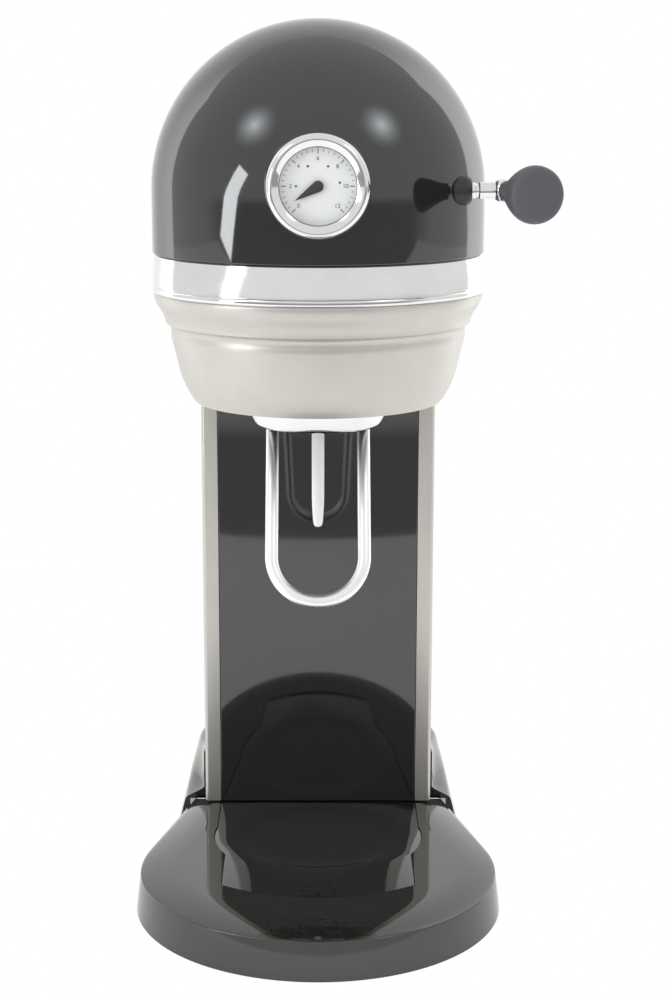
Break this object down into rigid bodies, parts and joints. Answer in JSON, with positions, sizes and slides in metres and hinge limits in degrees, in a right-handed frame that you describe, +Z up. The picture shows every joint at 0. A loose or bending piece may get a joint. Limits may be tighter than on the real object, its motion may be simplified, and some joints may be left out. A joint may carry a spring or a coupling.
{
  "type": "soda carbonator",
  "caption": "Countertop soda carbonator: bullet-shaped head with gauge and side lever on a panelled column, round-fronted base with a bottle tray, tilting bottle carrier and wire loop.",
  "frame": {"origin": "on the table surface, under the bottle's and nozzle's axis, at the centre foot's underside", "axes": "+X to the right as seen from the front, where the lever is, +Y to the back, +Z up"},
  "size_m": [0.1909, 0.2584, 0.414],
  "materials": {
    "black_enamel": "deep gloss",
    "black_gloss": "polished",
    "black_satin": "satin",
    "satin_silver": "warm satin",
    "chrome": "polished",
    "polished_steel": "polished",
    "soft_grey": "satin",
    "white_plastic": "smooth",
    "rubber": "matte",
    "zinc_steel": "zinc plated",
    "cylinder_paint": "gloss",
    "brass": "machined",
    "dial_white": "printed",
    "needle_black": "matte",
    "clear_lens": "clear"
  },
  "bodies": {
    "root": {"base_shell": "black_enamel", "rear_shoe": "black_enamel", "dome_shell": "black_enamel", "bottle_tray": "black_gloss", "front_panel": "black_gloss", "left_stile": "satin_silver", "right_stile": "satin_silver", "collar": "satin_silver", "chrome_band": "chrome", "gauge_bezel": "chrome", "feet": "rubber", "base_plate": "zinc_steel", "base_screws": "zinc_steel", "column_spine": "zinc_steel", "cylinder_clip": "zinc_steel", "cylinder_cup": "black_satin", "head_chassis": "zinc_steel", "head_screws": "zinc_steel", "gauge_can": "zinc_steel", "gauge_dial": "dial_white", "gauge_lens": "clear_lens", "carrier_bracket": "zinc_steel", "lever_bush": "black_satin", "lever_frame": "zinc_steel", "lever_spring": "polished_steel", "rod_guide": "black_satin", "valve_bridge": "zinc_steel", "valve_block": "brass", "rocker_pin": "polished_steel", "relief_valve": "brass", "gas_tube": "white_plastic", "gauge_tube": "brass"},
    "lever": {"lever_shaft": "chrome", "lever_knob": "soft_grey", "lever_crank": "zinc_steel"},
    "pull_rod": {"pull_rod": "zinc_steel"},
    "rocker": {"rocker": "zinc_steel"},
    "valve_plunger": {"valve_plunger": "polished_steel"},
    "bottle_carrier": {"carrier_bowl": "chrome", "carrier_core": "black_satin", "bottle_seal": "rubber", "nozzle": "white_plastic"},
    "wire_loop": {"wire_loop": "polished_steel"},
    "needle": {"gauge_needle": "needle_black"},
    "cylinder": {"gas_cylinder": "cylinder_paint", "cylinder_valve": "brass"},
    "back_cover": {"rear_cover": "black_satin"},
    "latch": {"cover_latch": "black_satin"}
  },
  "joints": [
    {"name": "lever_pull", "type": "hinge", "parent": "root", "child": "lever", "pos_m": [0, -0.042, 0.339], "axis": [1, 0, 0], "range_deg": [0, 32], "stiffness_Nm_per_rad": 0.4, "springref_deg": -14.32},
    {"name": "rod_pull", "type": "slide", "parent": "root", "child": "pull_rod", "axis": [0, -1, 0], "range_m": [0, 0.0057]},
    {"name": "rocker_turn", "type": "hinge", "parent": "root", "child": "rocker", "pos_m": [0, 0.07, 0.367], "axis": [-1, 0, 0], "range_deg": [0, 18.2]},
    {"name": "plunger_press", "type": "slide", "parent": "root", "child": "valve_plunger", "axis": [0, 0, -1], "range_m": [0, 0.0045]},
    {"name": "carrier_tilt", "type": "hinge", "parent": "root", "child": "bottle_carrier", "pos_m": [0, 0, 0.262], "axis": [-1, 0, 0], "range_deg": [0, 12]},
    {"name": "loop_swing", "type": "hinge", "parent": "bottle_carrier", "child": "wire_loop", "pos_m": [0, -0.001, 0.24], "axis": [1, 0, 0], "range_deg": [-4, 20]},
    {"name": "needle_sweep", "type": "hinge", "parent": "root", "child": "needle", "pos_m": [0, -0.0782, 0.3427], "axis": [0, 1, 0], "range_deg": [0, 240], "stiffness_Nm_per_rad": 0.0002, "springref_deg": -17.19},
    {"name": "cylinder_unscrew", "type": "hinge", "parent": "root", "child": "cylinder", "pos_m": [0, 0.084, 0.1], "axis": [0, 0, -1], "range_deg": [0, 720]},
    {"name": "cover_pull", "type": "slide", "parent": "root", "child": "back_cover", "axis": [0, 1, 0], "range_m": [0, 0.08]},
    {"name": "latch_press", "type": "slide", "parent": "back_cover", "child": "latch", "axis": [0, 0, -1], "range_m": [0, 0.004], "stiffness_N_per_m": 400, "springref_m": -0.003}
  ],
  "couplings": [
    {"joint": "rod_pull", "follows": "lever_pull", "m_per_rad": 0.01},
    {"joint": "rocker_turn", "follows": "lever_pull", "ratio": 0.55556},
    {"joint": "plunger_press", "follows": "lever_pull", "m_per_rad": 0.0077778}
  ]
}
